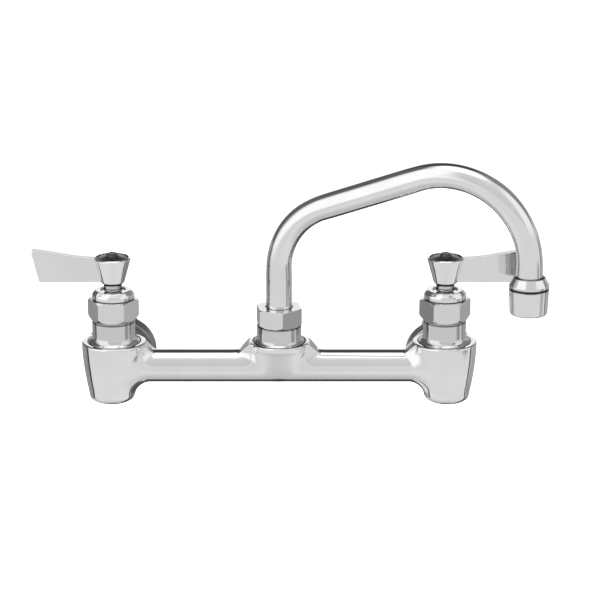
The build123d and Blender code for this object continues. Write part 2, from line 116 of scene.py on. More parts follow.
def lathe(name, points, at=(0, 0, 0), axis="z", segs=144):
    """A turned piece: the closed outline (radius, height, fillet) spun about Z or Y through the point at."""
    p, na, nb = corner_arcs(points)
    n = len(p)
    ang = np.linspace(0, 2 * np.pi, segs, endpoint=False)
    c, s = np.cos(ang), np.sin(ang)
    on_axis = p[:, 0] < 1e-6
    index = np.full((n, segs), -1)
    verts = []
    for i in range(n):
        if on_axis[i]:
            index[i, :] = len(verts)
            verts.append((0.0, 0.0, p[i, 1]))
        else:
            index[i, :] = np.arange(len(verts), len(verts) + segs)
            verts += list(zip(p[i, 0] * c, p[i, 0] * s, np.full(segs, p[i, 1])))
    faces, normals = [], []
    for i in range(n):
        j = (i + 1) % n
        if on_axis[i] and on_axis[j]:
            continue
        n0, n1 = nb[i], na[j]
        for k in range(segs):
            m = (k + 1) % segs
            ring = [(index[i, k], n0, k), (index[i, m], n0, m), (index[j, m], n1, m), (index[j, k], n1, k)]
            seen, face = set(), []
            for v, nn, a in ring:
                if v not in seen:
                    seen.add(v)
                    face.append((v, nn, a))
            if len(face) < 3:
                continue
            faces.append([f[0] for f in face])
            normals += [(f[1][0] * c[f[2]], f[1][0] * s[f[2]], f[1][1]) for f in face]
    verts, normals = np.array(verts), np.array(normals)
    if axis == "y":
        # (x, y, z) -> (x, z, -y): the profile's height runs along +Y
        verts = np.column_stack([verts[:, 0], verts[:, 2], -verts[:, 1]])
        normals = np.column_stack([normals[:, 0], normals[:, 2], -normals[:, 1]])
    return add_mesh(name, verts + np.array(at), faces, loop_normals=normals)


def hexagon(across, turn, corner_r=0.3, per_flat=22, per_corner=6):
    """Round-cornered hexagon: points and outward normals, in order."""
    apothem = across / 2
    corner = apothem / math.cos(math.pi / 6)
    pts, nrm = [], []
    for k in range(6):
        a0 = math.radians(turn + 60 * k)            # corner direction at the end of this flat
        flat = a0 - math.radians(30)                # direction of this flat's normal
        u = np.array([math.cos(flat), math.sin(flat)])
        w = np.array([-math.sin(flat), math.cos(flat)])
        reach = apothem * math.tan(math.pi / 6) - corner_r * math.tan(math.pi / 6)
        for t in np.linspace(-reach, reach, per_flat):
            pts.append(u * apothem + w * t)
            nrm.append(u)
        centre = np.array([math.cos(a0), math.sin(a0)]) * (corner - corner_r / math.cos(math.pi / 6))
        for q in range(1, per_corner):
            a = flat + math.radians(60) * q / per_corner
            d = np.array([math.cos(a), math.sin(a)])
            pts.append(centre + d * corner_r)
            nrm.append(d)
    return np.array(pts), np.array(nrm)


def hex_piece(name, across, turn, low, high, low_face, high_face, low_chamfer, high_chamfer, inner, at=(0, 0, 0),
              axis="z", edge=0.22):
    """A nut: hexagonal outside with turned end chamfers. inner is the outline of its bore, from bottom to top."""
    outline, onrm = hexagon(across, turn)
    corner = across / 2 / math.cos(math.pi / 6)
    cols = []
    for q, nn in zip(outline, onrm):
        r = float(np.linalg.norm(q))
        zl = low + max(0.05, r - low_face) * low_chamfer / (corner - low_face)
        zh = high - max(0.05, r - high_face) * high_chamfer / (corner - high_face)
        prof = [(min(low_face, r - 0.5), low, 0.15), (r, zl, edge), (r, zh, edge), (min(high_face, r - 0.5), high, 0.15)]
        cols.append((q / r, nn, corner_arcs(prof + [(a, b, 0.0) for a, b in inner[::-1]], fixed=3)))
    n = len(cols)
    m = len(cols[0][2][0])
    verts, faces, normals = [], [], []
    for radial, nn, (p, na, nb) in cols:
        for r, z in p:
            verts.append((radial[0] * r, radial[1] * r, z))

    def spin(col, n2, z, r):
        radial, nn, _ = cols[col]
        # sides take the flat's own direction, chamfers and bores the radial one
        share = max(0.0, 1 - abs(n2[1]) / 0.5) if n2[0] > 0 and r > across / 2 - 0.3 else 0.0
        d = nn * share + radial * (1 - share)
        d = d / np.linalg.norm(d)
        return (d[0] * n2[0], d[1] * n2[0], n2[1])

    for i in range(n):
        j = (i + 1) % n
        pi, nai, nbi = cols[i][2]
        pj, naj, nbj = cols[j][2]
        for k in range(m):
            l = (k + 1) % m
            faces.append([i * m + k, j * m + k, j * m + l, i * m + l])
            normals += [spin(i, nbi[k], pi[k][1], pi[k][0]), spin(j, nbj[k], pj[k][1], pj[k][0]),
                        spin(j, naj[l], pj[l][1], pj[l][0]), spin(i, nai[l], pi[l][1], pi[l][0])]
    verts, normals = np.array(verts), np.array(normals)
    if axis == "y":
        verts = np.column_stack([verts[:, 0], verts[:, 2], -verts[:, 1]])
        normals = np.column_stack([normals[:, 0], normals[:, 2], -normals[:, 1]])
    return add_mesh(name, verts + np.array(at), faces, loop_normals=normals)


# ------------------------------------------------------------------------------------------------ solid fields
def join(a, b, r):
    """Union of two distance fields with a round fillet of radius r."""
    ua, ub = np.maximum(r - a, 0), np.maximum(r - b, 0)
    return np.maximum(r, np.minimum(a, b)) - np.sqrt(ua * ua + ub * ub)


def meet(a, b, r):
    """Intersection of two distance fields with its edge rounded to radius r."""
    ua, ub = np.maximum(r + a, 0), np.maximum(r + b, 0)
    return np.minimum(-r, np.maximum(a, b)) + np.sqrt(ua * ua + ub * ub)


def ease(a, b, k):
    """Soft union over a width k, without a hard start."""
    h = np.maximum(k - np.abs(a - b), 0) / k
    return np.minimum(a, b) - h * h * h * k / 6.0


def outline_field(px, pz, poly):
    """Signed distance to a closed polygon, negative inside."""
    poly = np.asarray(poly, float)
    d = np.full(px.shape, 1e18)
    inside = np.zeros(px.shape, bool)
    n = len(poly)
    for i in range(n):
        ax, az = poly[i]
        bx, bz = poly[(i + 1) % n]
        ex, ez = bx - ax, bz - az
        wx, wz = px - ax, pz - az
        t = np.clip((wx * ex + wz * ez) / (ex * ex + ez * ez), 0, 1)
        qx, qz = wx - ex * t, wz - ez * t
        d = np.minimum(d, qx * qx + qz * qz)
        cross = ((az <= pz) & (pz < bz)) | ((bz <= pz) & (pz < az))
        if abs(bz - az) > 1e-12:
            inside ^= cross & (px < (bx - ax) * (pz - az) / (bz - az) + ax)
    return np.where(inside, -1, 1) * np.sqrt(d)


def skin(field, xs, ys, zs, rounds=5):
    """Quads over the zero surface of a field on a grid (surface nets), pulled onto it exactly, with its true normals."""
    gx, gy, gz = np.meshgrid(xs, ys, zs, indexing="ij")
    v = field(gx, gy, gz)
    neg = v < 0
    nx, ny, nz = v.shape
    total = np.zeros((nx - 1, ny - 1, nz - 1, 3))
    count = np.zeros((nx - 1, ny - 1, nz - 1))
    axes = (xs, ys, zs)
    for ax in range(3):
        lo = [slice(None)] * 3
        hi = [slice(None)] * 3
        lo[ax], hi[ax] = slice(0, -1), slice(1, None)
        a, b = v[tuple(lo)], v[tuple(hi)]
        cut = (a < 0) != (b < 0)
        t = np.where(cut, a / np.where(cut, a - b, 1), 0)
        base = [g[tuple(lo)] for g in (gx, gy, gz)]
        step = np.diff(axes[ax])
        shape = [1, 1, 1]
        shape[ax] = len(step)
        base[ax] = base[ax] + t * step.reshape(shape)
        others = [k for k in range(3) if k != ax]
        for d1 in (0, 1):
            for d2 in (0, 1):
                sl = [slice(None)] * 3
                for o, dd in zip(others, (d1, d2)):
                    sl[o] = slice(dd, v.shape[o] - 1 + dd)
                sl = tuple(sl)
                c = cut[sl]
                count += c
                for k in range(3):
                    total[..., k] += np.where(c, base[k][sl], 0)
    has = count > 0
    index = np.full(has.shape, -1)
    index[has] = np.arange(has.sum())
    points = total[has] / count[has][:, None]
    quads = []
    for ax in range(3):
        others = [k for k in range(3) if k != ax]
        lo = [slice(None)] * 3
        hi = [slice(None)] * 3
        lo[ax], hi[ax] = slice(0, -1), slice(1, None)
        for o in others:
            lo[o] = hi[o] = slice(1, -1)
        a, b = neg[tuple(lo)], neg[tuple(hi)]
        where = np.argwhere(a != b)
        if not len(where):
            continue
        enters = b[tuple(where.T)]
        cell = where.copy()
        o1, o2 = others
        corners = []
        for d1, d2 in ((0, 0), (1, 0), (1, 1), (0, 1)):
            q = cell.copy()
            q[:, o1] += d1
            q[:, o2] += d2
            corners.append(index[tuple(q.T)])
        q = np.column_stack(corners)
        flip = enters if ax != 1 else ~enters
        q[flip] = q[flip][:, ::-1]
        quads.append(q)
    quads = np.vstack(quads)
    e = 0.02

    def slope(p):
        g = np.empty_like(p)
        for k in range(3):
            d = np.zeros(3)
            d[k] = e
            a, b = p + d, p - d
            g[:, k] = (field(a[:, 0], a[:, 1], a[:, 2]) - field(b[:, 0], b[:, 1], b[:, 2])) / (2 * e)
        return g

    for _ in range(rounds):
        g = slope(points)
        f = field(points[:, 0], points[:, 1], points[:, 2])
        move = -(f / np.maximum((g * g).sum(1), 1e-6))[:, None] * g
        size = np.linalg.norm(move, axis=1)
        move *= np.minimum(1, 0.3 / np.maximum(size, 1e-9))[:, None]
        points = points + move
    g = slope(points)
    normals = g / np.maximum(np.linalg.norm(g, axis=1), 1e-9)[:, None]
    return points, quads, normals


def smooth_curve(x, knots):
    """Smooth interpolation through (x, value) knots (monotone cubic)."""
    k = np.array(sorted(knots), float)
    kx, ky = k[:, 0], k[:, 1]
    h = np.diff(kx)
    d = np.diff(ky) / h
    m = np.empty(len(kx))
    m[0], m[-1] = d[0], d[-1]
    for i in range(1, len(kx) - 1):
        m[i] = 0 if d[i - 1] * d[i] <= 0 else 2 * d[i - 1] * d[i] / (d[i - 1] + d[i])
    xc = np.clip(x, kx[0], kx[-1])
    i = np.clip(np.searchsorted(kx, xc, side="right") - 1, 0, len(h) - 1)
    t = (xc - kx[i]) / h[i]
    y = (ky[i] * (1 + 2 * t) * (1 - t) ** 2 + m[i] * h[i] * t * (1 - t) ** 2
         + ky[i + 1] * t * t * (3 - 2 * t) + m[i + 1] * h[i] * t * t * (t - 1))
    return y + np.where(x < kx[0], (x - kx[0]) * m[0], 0) + np.where(x > kx[-1], (x - kx[-1]) * m[-1], 0)


# ------------------------------------------------------------------------------------------------ the casting
def casting_field(x, y, z):
    """The whole one-piece casting, y counted from the valve axes."""
    ax = np.abs(x)
    bar = np.sqrt(y * y + z * z) - 10.2
    bar = np.maximum(bar, ax - HALF)
    # tapered valve bodies, set slightly outwards towards the bottom
    shift = 1.75 * np.clip((16 - z) / 38, 0, 1) + np.where(x > 0, 0.35, 0.15)
    radius = smooth_curve(z, [(-24, 13.4), (-19.4, 13.9), (-16.2, 14.5), (-9.7, 16.0), (-3.1, 17.3), (3.4, 18.4),
                              (9.9, 19.2), (13.5, 19.5), (16.0, 19.6)])
    dx = ax - HALF - shift
    rr = np.sqrt(dx * dx + y * y)
    body = meet((rr - radius) * 0.985, -22.0 - z, 3.8)
    # inlet neck towards the wall
    dxn = ax - HALF
    neck = np.sqrt(dxn * dxn + z * z) - 14.0
    neck = np.maximum(neck, -y)
    valve = join(body, neck, 4.0)
    valve = join(valve, bar, 7.2)
    # centre boss, funnel-shaped, flowing broadly into the cross tube and flush with it underneath
    r0 = np.sqrt(x * x + y * y)
    funnel = smooth_curve(z, [(-12, 3.0), (-9, 5.2), (-7, 7.0), (-5, 8.4), (-3, 9.4), (0, 10.7), (4, 12.6), (8, 14.7),
                              (11, 16.2), (13.5, 17.4), (16, 17.8)])
    boss = np.maximum((r0 - funnel) * 0.86, -9.0 - z)
    up = np.clip((z + 9.0) / 18.0, 0, 1)
    solid = ease(valve, boss, 1.0 + 13.0 * up * up * (3 - 2 * up))
    # shoulders that run from each boss top down to the top of the cross tube, narrower at their lower ends
    run = HALF - ax
    grow = np.clip((25.0 - run) / 8.0, 0, 1)
    side = np.abs(y) - (4.4 + 3.2 * grow)
    s1 = (run - 22.9 + (z - 10.6) * 0.93) * 0.73
    web = meet(np.maximum(s1, z - 15.9), side, 0.6)
    web = np.maximum(web, np.maximum(run - 30, -run))
    web = np.maximum(web, -z)
    solid = join(solid, web, 1.2)
    grow = np.clip((26.0 - ax) / 8.0, 0, 1)
    side = np.abs(y) - (4.2 + 3.6 * grow)
    s0 = (ax - 22.9 + (z - 11.2) * 0.96) * 0.72
    web0 = meet(np.maximum(s0, z - 16.0), side, 0.5)
    web0 = np.maximum(web0, -z)
    solid = join(solid, web0, 1.0)
    # flat tops, with rounded rims and a round recess in each
    solid = meet(solid, z - 16.0, 1.1)
    recess = np.minimum(rr * 0 + np.sqrt(dxn * dxn + y * y), r0) - 16.4
    solid = meet(solid, -np.maximum(recess, 14.4 - z), 0.45)
    # threads, chambers and waterways
    rv = np.sqrt(dxn * dxn + y * y)
    near = np.minimum(rv, r0)
    bore = np.maximum(near - 12.0, 4.5 - z)
    bore = np.minimum(bore, np.maximum(near - 9.5, np.abs(z - 3.2) - 2.2))
    bore = np.minimum(bore, np.maximum(rv - 8.2, np.abs(z + 2.5) - 4.5))
    bore = np.minimum(bore, np.maximum(rv - 6.35, np.abs(z + 10.0) - 4.0))
    bore = np.minimum(bore, np.maximum(rv - 5.5, np.abs(z + 15.5) - 2.5))
    bore = np.minimum(bore, np.maximum(np.sqrt(y * y + z * z) - 6.5, ax - HALF))
    bore = np.minimum(bore, np.maximum(np.sqrt(dxn * dxn + z * z) - 10.53, 18.0 - y))
    a, b = np.array([20.0, -4.0]), np.array([2.5, -16.4])
    t = np.clip(((y - a[0]) * (b[0] - a[0]) + (z - a[1]) * (b[1] - a[1])) / ((b - a) @ (b - a)), 0, 1)
    bore = np.minimum(bore, np.sqrt(dxn * dxn + (y - a[0] - (b[0] - a[0]) * t) ** 2 + (z - a[1] - (b[1] - a[1]) * t) ** 2) - 3.0)
    solid = np.maximum(solid, -bore)
    return np.maximum(solid, y - 25.6)


def make_casting():
    xs = np.arange(-122.4, 122.41, 0.6)
    ys = np.concatenate([np.arange(-21.0, 14.0, 0.6), np.arange(14.0, 26.6, 0.7)])
    zs = np.concatenate([np.arange(-23.2, 12.4, 0.6), np.arange(12.4, 17.0, 0.35)])
    p, q, n = skin(casting_field, xs, ys, zs)
    return add_mesh("casting", p + np.array([0, AXIS_Y, 0]), q, normals=n)


# ------------------------------------------------------------------------------------------------ the lever handle
HUB = [(4.02, 49.1), (5.65, 49.1), (5.9, 49.3), (5.9, 49.9), (5.45, 50.2), (5.45, 52.1), (5.8, 52.8), (7.2, 53.95),
       (11.15, 68.1), (11.25, 68.65), (10.95, 69.05), (9.95, 69.6),
       (9.75, 69.35), (9.7, 68.8), (9.7, 66.0), (6.0, 66.0), (6.0, 62.5), (2.2, 62.5), (2.2, 60.1), (4.02, 60.1)]
PADDLE = [(0, 54.1), (-44.7, 54.1, 1.0), (-49.9, 75.3, 2.4), (-22.0, 70.5, 40), (-12.0, 69.7, 30), (0, 69.7)]


def handle_field(x, y, z):
    r = np.sqrt(x * x + y * y)
    hub = outline_field(r, z, HUB) - 0.05
    flat, _, _ = corner_arcs(PADDLE)
    paddle = meet(outline_field(x, z, flat), np.abs(y) - 2.2, 0.85)
    hollow = np.minimum(np.maximum(r - 9.7, 66.0 - z), np.maximum(r - 6.0, 62.5 - z))
    hollow = np.minimum(hollow, np.maximum(r - 2.2, 59.0 - z))
    hollow = np.minimum(hollow, np.maximum(r - 4.02, z - 60.1))
    paddle = np.maximum(paddle, -hollow)
    whole = join(hub, paddle, 0.5)
    return np.maximum(whole, -hollow)


def make_handle(name, body, side):
    p, q, n = handle_mesh
    if side > 0:
        p, n = p * np.array([-1, -1, 1]), n * np.array([-1, -1, 1])
    return add_mesh(name, p + np.array([side * HALF, AXIS_Y, 0]), q, normals=n)


# ------------------------------------------------------------------------------------------------ the spout tube
def route():
    slope, r1, r2, corner_z = math.radians(20.84), 43.5, 51.0, 92.6
    turn1, turn2 = math.pi / 2 - slope, math.pi / 2 + slope
    t1, t2 = r1 * math.tan(turn1 / 2), r2 * math.tan(turn2 / 2)
    c, s = math.cos(slope), math.sin(slope)
    corner2 = corner_z + REACH * math.tan(slope)
    z1, z2 = corner_z - t1, corner2 - t2
    out = []                                        # (r, z, direction angle, share of bend, sign of bend)

    def straight(a, b, step):
        n = max(1, int(round(math.dist(a, b) / step)))
        d = math.atan2(b[1] - a[1], b[0] - a[0])
        for k in range(n):
            f = k / n
            out.append((a[0] + (b[0] - a[0]) * f, a[1] + (b[1] - a[1]) * f, d, 0.0))

    def bend(cx, cz, r, a0, a1, n):
        for k in range(n):
            a = a0 + (a1 - a0) * k / n
            out.append((cx + r * math.cos(a), cz + r * math.sin(a), a - math.pi / 2, 1.0))

    straight((0, 26.0), (0, z1), 1.5)
    bend(r1, z1, r1, math.pi, math.pi - turn1, 56)
    straight((t1 * c, corner_z + t1 * s), (REACH - t2 * c, corner2 - t2 * s), 1.5)
    bend(REACH - r2, z2, r2, turn2, 0, 90)
    straight((REACH, z2), (REACH, 61.0), 1.5)
    out.append((REACH, 61.0, -math.pi / 2, 0.0))
    return np.array(out)


def make_tube():
    path = route()
    centre = path[:, :2]
    length = np.concatenate([[0], np.cumsum(np.linalg.norm(np.diff(centre, axis=0), axis=1))])
    even = np.arange(0, length[-1], 0.9)
    even = np.append(even, length[-1])
    # how oval the section is, eased in and out of each bend
    share = np.interp(even, length, path[:, 3])
    kernel = np.hanning(23)
    kernel /= kernel.sum()
    padded = np.concatenate([np.full(11, share[0]), share, np.full(11, share[-1])])
    share = np.convolve(padded, kernel, "valid")
    rc = np.column_stack([np.interp(even, length, centre[:, 0]), np.interp(even, length, centre[:, 1])])
    ang = np.interp(even, length, np.unwrap(path[:, 2]))
    segs = 96
    th = np.linspace(0, 2 * np.pi, segs, endpoint=False)
    ct, st = np.cos(th), np.sin(th)
    n = len(even)

    def ring_grid(radius):
        flat = radius * (1 - 0.035 * share)         # across the bend, in its plane
        wide = radius * (1 + 0.012 * share)         # across the bend, sideways
        nx, nz = -np.sin(ang), np.cos(ang)          # in-plane normal
        r = rc[:, 0, None] + flat[:, None] * ct * nx[:, None]
        z = rc[:, 1, None] + flat[:, None] * ct * nz[:, None]
        w = wide[:, None] * st
        return r, w, z

    cs, sn = math.cos(AZIMUTH), math.sin(AZIMUTH)

    def world(r, w, z):
        return np.stack([r * cs - w * sn, r * sn + w * cs + AXIS_Y, z], axis=-1).reshape(-1, 3)

    verts = np.vstack([world(*ring_grid(7.94)), world(*ring_grid(6.9))])
    faces = []
    idx = np.arange(n * segs).reshape(n, segs)
    nxt = np.roll(idx, -1, axis=1)
    outer = np.stack([idx[:-1], idx[1:], nxt[1:], nxt[:-1]], axis=-1).reshape(-1, 4)
    inner = outer[:, ::-1] + n * segs
    ends = np.vstack([np.column_stack([idx[0], nxt[0], nxt[0] + n * segs, idx[0] + n * segs]),
                      np.column_stack([idx[-1] + n * segs, nxt[-1] + n * segs, nxt[-1], idx[-1]])])
    faces = np.vstack([outer, inner, ends])
    # exact directions on the outside, from the grid itself
    def grid_normals(g, flip):
        g = g.reshape(n, segs, 3)
        du = np.gradient(g, axis=0)
        dv = np.roll(g, -1, axis=1) - np.roll(g, 1, axis=1)
        m = np.cross(du, dv)
        m /= np.linalg.norm(m, axis=-1, keepdims=True)
        mid = world(rc[:, 0, None] + 0 * th, 0 * th + 0 * rc[:, 0, None], rc[:, 1, None] + 0 * th).reshape(n, segs, 3)
        sign = np.sign(((g - mid) * m).sum(-1, keepdims=True))
        return (m * sign * (-1 if flip else 1)).reshape(-1, 3)

    no = grid_normals(verts[: n * segs], False)
    ni = grid_normals(verts[n * segs:], True)
    vn = np.vstack([no, ni])
    down = (0, 0, -1)
    loops = []
    flat_n = vn[faces[: len(outer) + len(inner)].reshape(-1)]
    loops = np.vstack([flat_n, np.tile(down, (len(ends) * 4, 1))])
    return add_mesh("tube", verts, faces, loop_normals=loops)


# ------------------------------------------------------------------------------------------------ threaded nipples
def threaded(name, at, r, bore, low, high, pitch, depth, smooth=()):
    """A pipe nipple along +Y with a real helical thread on its outside. smooth lists plain stretches (from, to)."""
    segs = 72
    step = pitch / 6
    n = int(round((high - low) / step))
    ys = np.linspace(low, high, n + 1)
    th = np.linspace(0, 2 * np.pi, segs, endpoint=False)
    yy, tt = np.meshgrid(ys, th, indexing="ij")
    phase = (yy / pitch - tt / (2 * np.pi)) % 1.0
    form = np.abs(phase * 2 - 1)                     # 1 at the crest, 0 at the root
    form = np.clip((form - 0.1) / 0.8, 0, 1)
    fade = np.ones_like(yy)
    for a, b in smooth:
        fade *= np.clip(np.maximum((a - yy) / 1.2, (yy - b) / 1.2), 0, 1)
    fade *= np.clip((high - yy) / 1.2, 0, 1)
    rad = r - depth * (1 - form) * fade - np.clip(0.7 - (high - yy), 0, 1)
    outer = np.stack([rad * np.cos(tt), yy, rad * np.sin(tt)], axis=-1).reshape(-1, 3)
    m = (n + 1) * segs
    rings = []
    for y in (low, high):
        rings.append(np.column_stack([bore * np.cos(th), np.full(segs, y), bore * np.sin(th)]))
    verts = np.vstack([outer] + rings)
    idx = np.arange(m).reshape(n + 1, segs)
    nxt = np.roll(idx, -1, axis=1)
    side = np.stack([idx[:-1], idx[1:], nxt[1:], nxt[:-1]], axis=-1).reshape(-1, 4)
    i0 = m + np.arange(segs)
    j0 = np.roll(i0, -1)
    i1, j1 = i0 + segs, j0 + segs
    ends = np.vstack([np.column_stack([i0, idx[0], nxt[0], j0]), np.column_stack([idx[-1], i1, j1, nxt[-1]]),
                      np.column_stack([i1, i0, j0, j1])])
    obj = add_mesh(name, verts + np.array(at), np.vstack([side, ends]))
    obj.data.set_sharp_from_angle(angle=math.radians(50))
    return obj


# ------------------------------------------------------------------------------------------------ materials
def new_material(name):
    mat = bpy.data.materials.new(name)
    mat.use_nodes = True
    nt = mat.node_tree
    nt.nodes.clear()
    out = nt.nodes.new("ShaderNodeOutputMaterial")
    bsdf = nt.nodes.new("ShaderNodeBsdfPrincipled")
    nt.links.new(bsdf.outputs["BSDF"], out.inputs["Surface"])
    return mat, nt, bsdf


def noise(nt, scale, detail=3.0, rough=0.5, stretch=(1, 1, 1), dist=0.0):
    coord = nt.nodes.new("ShaderNodeTexCoord")
    mapping = nt.nodes.new("ShaderNodeMapping")
    mapping.inputs["Scale"].default_value = stretch
    tex = nt.nodes.new("ShaderNodeTexNoise")
    tex.inputs["Scale"].default_value = scale
    tex.inputs["Detail"].default_value = detail
    tex.inputs["Roughness"].default_value = rough
    tex.inputs["Distortion"].default_value = dist
    nt.links.new(coord.outputs["Object"], mapping.inputs["Vector"])
    nt.links.new(mapping.outputs["Vector"], tex.inputs["Vector"])
    return tex


def ramp(nt, source, stops):
    node = nt.nodes.new("ShaderNodeValToRGB")
    els = node.color_ramp.elements
    while len(els) > 1:
        els.remove(els[-1])
    els[0].position, els[0].color = stops[0][0], tuple(stops[0][1]) + (1,)
    for pos, col in stops[1:]:
        e = els.new(pos)
        e.color = tuple(col) + (1,)
    nt.links.new(source, node.inputs["Fac"])
    return node


def spread(nt, source, low, high, from_low=0.3, from_high=0.7):
    node = nt.nodes.new("ShaderNodeMapRange")
    node.inputs["From Min"].default_value = from_low
    node.inputs["From Max"].default_value = from_high
    node.inputs["To Min"].default_value = low
    node.inputs["To Max"].default_value = high
    nt.links.new(source, node.inputs["Value"])
    return node


def bump(nt, bsdf, source, distance, strength=1.0, under=None):
    node = nt.nodes.new("ShaderNodeBump")
    node.inputs["Strength"].default_value = strength
    node.inputs["Distance"].default_value = distance
    nt.links.new(source, node.inputs["Height"])
    if under is not None:
        nt.links.new(under.outputs["Normal"], node.inputs["Normal"])
    nt.links.new(node.outputs["Normal"], bsdf.inputs["Normal"])
    return node


def chrome(name, tint=(0.86, 0.865, 0.87), rough=(0.035, 0.075), wave=0.0, wave_scale=60.0, grain=0.0, grain_scale=900.0,
           stretch=(1, 1, 1), cloud=0.05, shade_bands=None, neck=False):
    """Bright plated metal: clear reflections, faint handling marks, and a slow waviness where the metal was cast.
    The (height, tone) stops given for grooves, gaps and concave corners paint shade into the colour there: dark lines
    where shadow falls between parts. neck paints shade on the sides of the neck under a handle, darkest where the
    surface turns edge-on to the view, standing in for the shade of the gland and the hub close by."""
    mat, nt, bsdf = new_material(name)
    bsdf.inputs["Metallic"].default_value = 1.0
    soft = noise(nt, 45.0, 4.0, 0.55)
    dark = tuple(c * (1 - cloud) for c in tint)
    tone = ramp(nt, soft.outputs["Fac"], [(0.35, dark), (0.65, tint)])
    nt.links.new(tone.outputs["Color"], bsdf.inputs["Base Color"])
    if shade_bands:
        # painted shade: tone by height, dark in the gaps between parts, in grooves and in concave corners
        coord = nt.nodes.new("ShaderNodeTexCoord")
        sep = nt.nodes.new("ShaderNodeSeparateXYZ")
        nt.links.new(coord.outputs["Object"], sep.inputs["Vector"])
        low, high = shade_bands[0][0], shade_bands[-1][0]
        place = spread(nt, sep.outputs["Z"], 0.0, 1.0, low * MM, high * MM)
        painted_shade = ramp(nt, place.outputs["Result"], [((h - low) / (high - low), (v,) * 3) for h, v in shade_bands])
        sources = [painted_shade.outputs["Color"]]
    if neck:
        # painted shade on the neck sides, darkest where the surface turns edge-on to the view
        side = nt.nodes.new("ShaderNodeLayerWeight")
        side.inputs["Blend"].default_value = 0.5
        edge = ramp(nt, side.outputs["Facing"], [(0.30, (1, 1, 1)), (0.50, (0.25, 0.25, 0.25)), (1.0, (0.08, 0.08, 0.08))])
        below = spread(nt, sep.outputs["Z"], 0.0, 1.0, 53.4 * MM, 53.9 * MM)
        shade = nt.nodes.new("ShaderNodeMix")
        shade.data_type = "RGBA"
        nt.links.new(below.outputs["Result"], shade.inputs["Factor"])
        nt.links.new(edge.outputs["Color"], shade.inputs["A"])
        shade.inputs["B"].default_value = (1, 1, 1, 1)
        sources.append(shade.outputs["Result"])
    if shade_bands:
        last = tone.outputs["Color"]
        for source in sources:
            mix = nt.nodes.new("ShaderNodeMix")
            mix.data_type = "RGBA"
            mix.blend_type = "MULTIPLY"
            mix.inputs["Factor"].default_value = 1.0
            nt.links.new(last, mix.inputs["A"])
            nt.links.new(source, mix.inputs["B"])
            last = mix.outputs["Result"]
        nt.links.new(last, bsdf.inputs["Base Color"])
    marks = noise(nt, 260.0, 6.0, 0.7, stretch)
    level = spread(nt, marks.outputs["Fac"], rough[0], rough[1])
    nt.links.new(level.outputs["Result"], bsdf.inputs["Roughness"])
    last = None
    if wave:
        slow = noise(nt, wave_scale, 2.0, 0.5)
        last = bump(nt, bsdf, slow.outputs["Fac"], wave)
    if grain:
        fine = noise(nt, grain_scale, 3.0, 0.6, stretch)
        bump(nt, bsdf, fine.outputs["Fac"], grain, under=last)
    return mat


